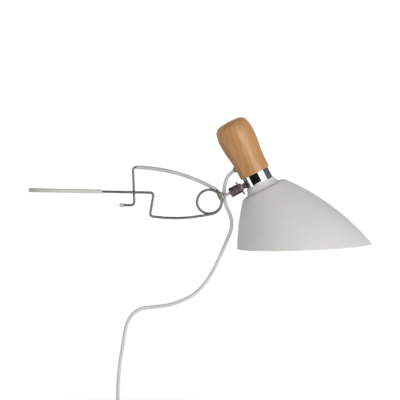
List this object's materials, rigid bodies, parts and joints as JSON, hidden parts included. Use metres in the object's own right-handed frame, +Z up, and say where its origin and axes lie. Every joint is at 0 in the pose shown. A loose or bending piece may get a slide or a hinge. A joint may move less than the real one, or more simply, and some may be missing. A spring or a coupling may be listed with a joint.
{
  "type": "clip-on reading lamp",
  "caption": "Clip-on reading lamp: one bent wire forms a spring clip with two jaws, and a locking knuckle carries a head with a wooden handle, chrome collar and cone shade.",
  "frame": {"origin": "top edge of the board that the clip holds, under the upper jaw", "axes": "+Z up, +X from the board towards the shade, +Y away from the viewer"},
  "size_m": [0.509, 0.1882, 0.4732],
  "materials": {
    "spring_steel": "satin spring steel wire",
    "jaw_sleeve": "aged cream plastic tube, olive-grey towards the tip",
    "arm_sleeve": "pale grey plastic tube",
    "gunmetal": "dark bronzed steel, slightly worn",
    "rod_chrome": "bright plating",
    "collar_chrome": "mirror plating",
    "fastener_steel": "zinc-plated steel",
    "brass": "machined brass",
    "shade_paint": "matt warm off-white paint on spun aluminium",
    "handle_wood": "orange-brown lacquered wood",
    "holder_plastic": "black thermoset",
    "ceramic": "white glazed ceramic",
    "lamp_glass": "opal glass",
    "lamp_cap": "pressed cap with a rolled thread",
    "contact_metal": "tinned brass",
    "cord_pvc": "light grey-white flexible PVC",
    "cord_fittings": "pale grey moulded plastic",
    "gland_plastic": "grey plastic",
    "rocker_plastic": "darker grey plastic",
    "lead_brown": "insulated copper leads"
  },
  "bodies": {
    "clip": {"jaw_wire": "spring_steel", "spring_coil": "spring_steel", "jaw_sleeve": "jaw_sleeve", "rod_clamp": "fastener_steel", "clamp_screw": "fastener_steel", "support_rod": "rod_chrome", "cord_lower": "cord_pvc", "cord_coil": "cord_pvc", "cord_tie": "rocker_plastic", "cord_tail": "cord_pvc", "plug_relief": "cord_fittings", "plug_body": "cord_fittings", "plug_pins": "contact_metal", "switch_base": "cord_fittings", "switch_cover": "cord_fittings", "switch_screws": "fastener_steel"},
    "clip_arm": {"arm_wire": "spring_steel", "arm_sleeve": "arm_sleeve", "hook_cap": "arm_sleeve"},
    "knuckle": {"knuckle_body": "gunmetal", "knuckle_grub_screw": "fastener_steel", "lock_nut": "fastener_steel", "lock_washer": "fastener_steel", "cord_upper": "cord_pvc"},
    "lock": {"lock_screw": "gunmetal", "tommy_bar": "gunmetal"},
    "head": {"head_lug": "gunmetal", "neck_ring": "shade_paint", "chrome_collar": "collar_chrome", "collar_screws": "fastener_steel", "wood_handle": "handle_wood", "handle_insert": "brass", "nipple": "brass", "nipple_nut": "brass", "shade": "shade_paint", "lampholder_body": "holder_plastic", "lampholder_cap": "holder_plastic", "shade_ring": "holder_plastic", "insulator": "ceramic", "screw_shell": "brass", "centre_contact": "contact_metal", "terminal_screws": "brass", "bulb_contact": "contact_metal", "bulb_cap": "lamp_cap", "bulb_glass": "lamp_glass", "cord_gland": "gland_plastic", "inner_leads": "lead_brown"},
    "rocker": {"switch_rocker": "rocker_plastic"}
  },
  "joints": [
    {"name": "arm_squeeze", "type": "hinge", "parent": "clip", "child": "clip_arm", "pos_m": [0.1233, 0, -0.0129], "axis": [0, -1, 0], "range_deg": [0, 9], "stiffness_Nm_per_rad": 3, "springref_deg": -11.46, "deforming": ["spring_coil"]},
    {"name": "knuckle_swivel", "type": "hinge", "parent": "clip", "child": "knuckle", "pos_m": [0.12445, 0, -0.01512], "axis": [0.8886, 0, 0.4587], "range_deg": [-80, 80], "deforming": ["cord_lower", "cord_upper"]},
    {"name": "head_tilt", "type": "hinge", "parent": "knuckle", "child": "head", "pos_m": [0.16906, 0, 0.0079], "axis": [0, 1, 0], "range_deg": [-30, 30], "deforming": ["cord_upper"]},
    {"name": "lock_turn", "type": "hinge", "parent": "knuckle", "child": "lock", "pos_m": [0.16906, 0, 0.0079], "axis": [0, 1, 0], "range_deg": [-20, 40]},
    {"name": "rocker_tilt", "type": "hinge", "parent": "clip", "child": "rocker", "pos_m": [0.06, 0.002, -0.3466], "axis": [0, 1, 0], "range_deg": [0, 14]}
  ]
}
